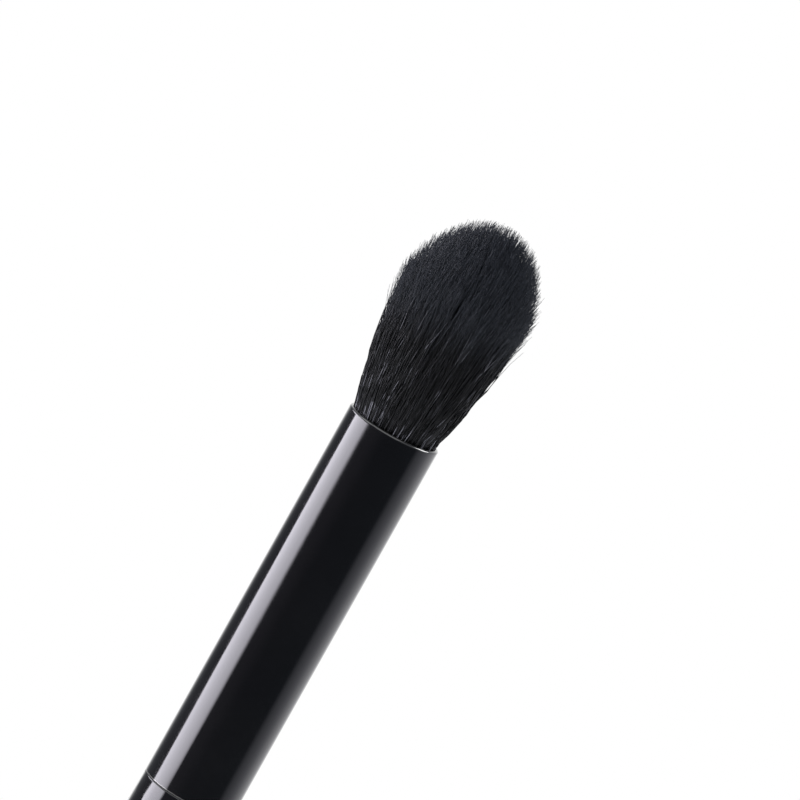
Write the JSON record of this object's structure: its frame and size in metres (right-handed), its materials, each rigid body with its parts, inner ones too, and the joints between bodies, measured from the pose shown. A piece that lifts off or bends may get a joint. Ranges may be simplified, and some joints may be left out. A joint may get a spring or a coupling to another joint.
{
  "type": "eyeshadow brush",
  "caption": "Slim eyeshadow brush: a soft domed black tuft that bends and springs back, in a plain round gloss black ferrule on a tapered gloss black handle.",
  "frame": {"origin": "on the brush's axis, halfway along the straight wall of the ferrule", "axes": "+Z along the brush from the handle's tail to the tips of the hair; +X to the right and +Y away, seen from the side that the picture shows"},
  "size_m": [0.011, 0.011, 0.1704],
  "materials": {
    "hair": "matte",
    "thread": "matte",
    "plug_glue": "gloss",
    "ferrule_lacquer": "gloss",
    "handle_lacquer": "gloss",
    "film_glue": "satin"
  },
  "bodies": {
    "brush": {"ferrule": "ferrule_lacquer", "handle": "handle_lacquer", "hair_root": "hair", "binding_thread": "thread", "glue_plug": "plug_glue", "glue_film": "film_glue"},
    "tuft": {"hair_tuft": "hair"}
  },
  "joints": [
    {"name": "hair_bend", "type": "hinge", "parent": "brush", "child": "tuft", "pos_m": [0, 0, 0.01991], "axis": [0, 1, 0], "range_deg": [-30, 30], "stiffness_Nm_per_rad": 0.0025}
  ]
}
